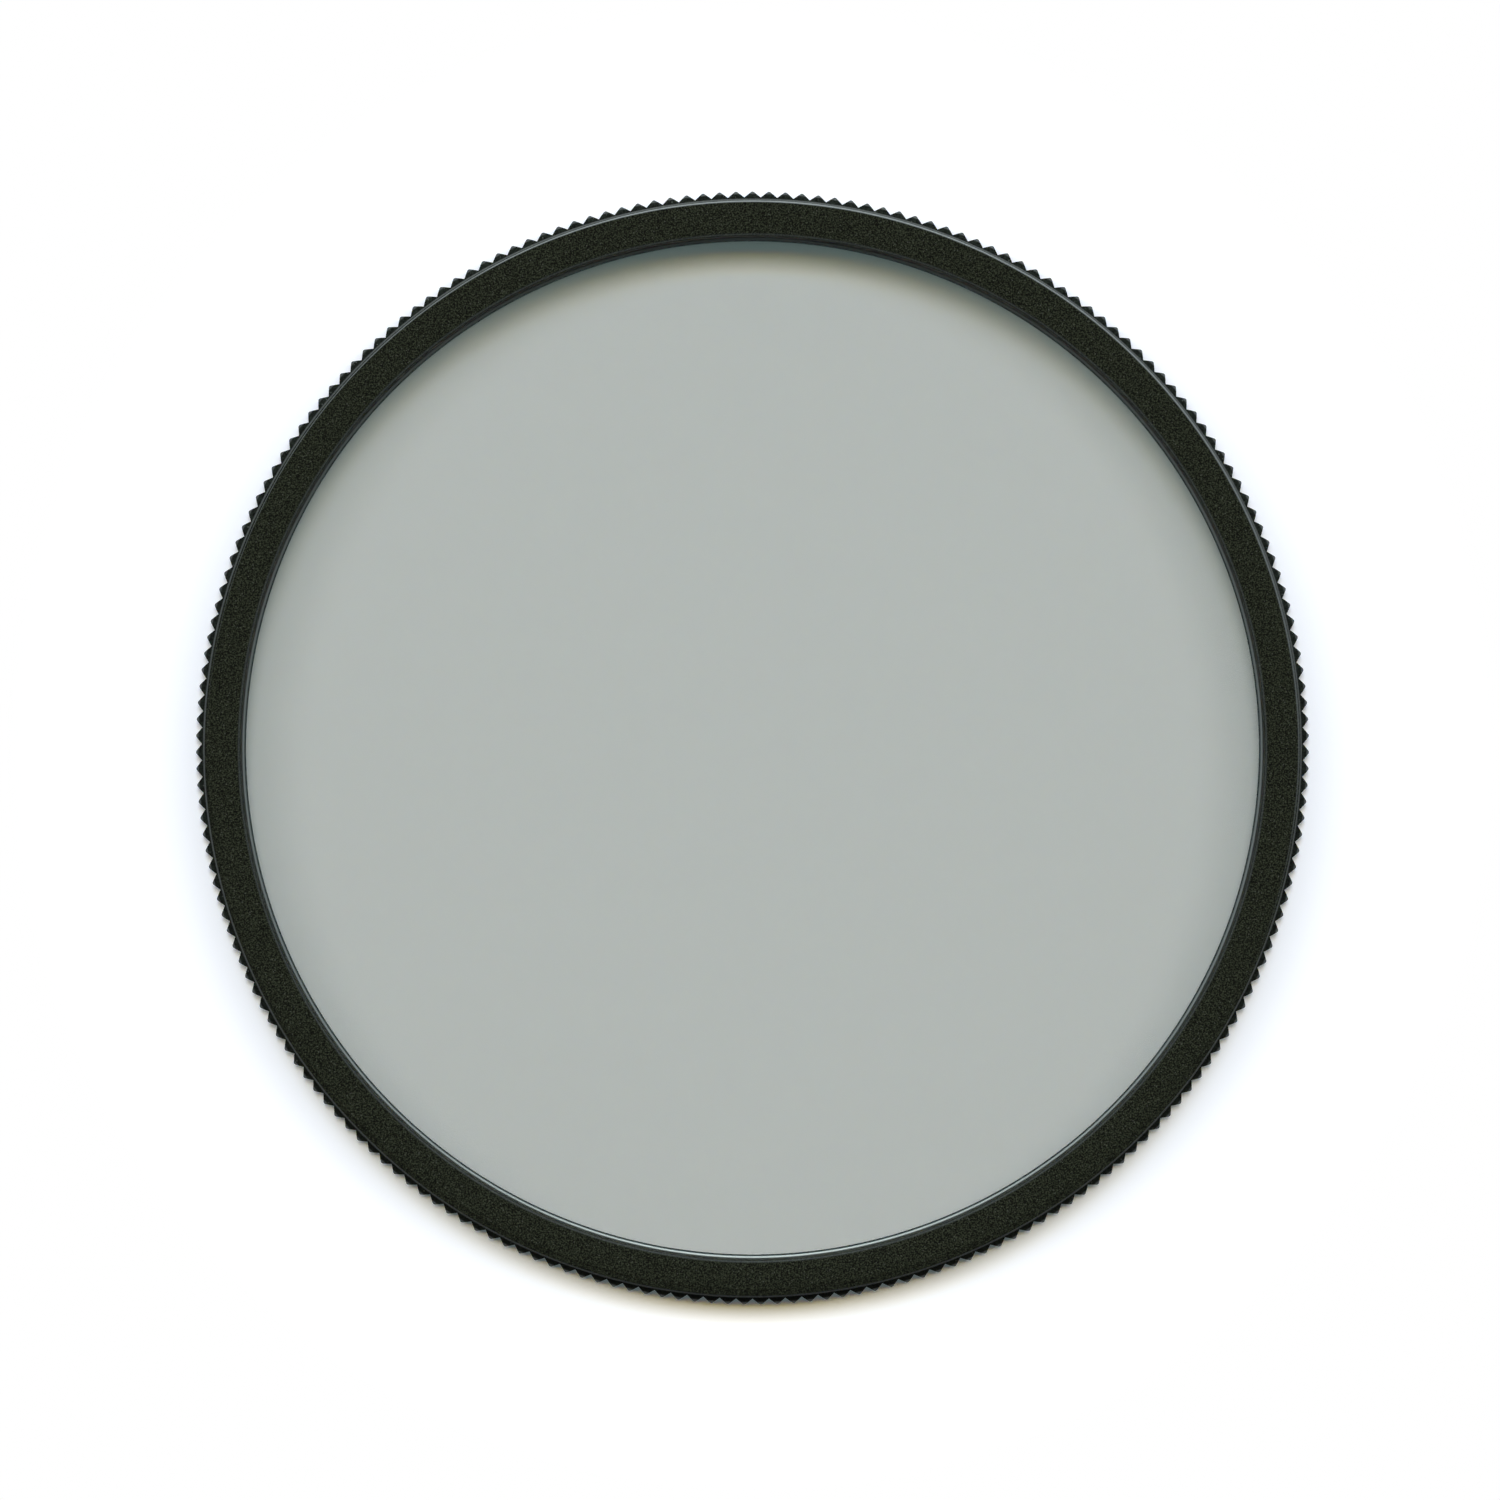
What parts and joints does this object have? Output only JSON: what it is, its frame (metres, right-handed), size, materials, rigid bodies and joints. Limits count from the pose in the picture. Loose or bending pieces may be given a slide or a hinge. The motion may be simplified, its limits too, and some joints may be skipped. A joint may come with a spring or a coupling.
{
  "type": "circular polarizing filter",
  "caption": "Round screw-in polarizing filter: a knurled ring with neutral grey glass turns freely in a black anodised mount ring with a lens thread.",
  "frame": {"origin": "centre of the front rim, on the surface the filter lies on", "axes": "+Z along the optical axis, from the subject side up towards the lens thread; the filter is round about Z"},
  "size_m": [0.0788, 0.0788, 0.0076],
  "materials": {
    "anodised_mount": "matte black anodised, fine bright grain",
    "anodised_grip": "matte black anodised, knurled",
    "anodised_retainer": "matte black anodised",
    "spring_steel": "drawn wire",
    "coated_glass": "polished, coated",
    "polarizing_sheet": "neutral grey film",
    "wave_sheet": "clear film"
  },
  "bodies": {
    "mount": {"mount_ring": "anodised_mount", "snap_wire": "spring_steel"},
    "polarizer": {"rotating_ring": "anodised_grip", "retaining_ring": "anodised_retainer", "front_glass": "coated_glass", "polarizing_film": "polarizing_sheet", "quarter_wave_film": "wave_sheet", "rear_glass": "coated_glass"}
  },
  "joints": [
    {"name": "polarizer_turn", "type": "hinge", "parent": "mount", "child": "polarizer", "pos_m": [0, 0, 0.0035], "axis": [0, 0, 1], "continuous": true}
  ]
}
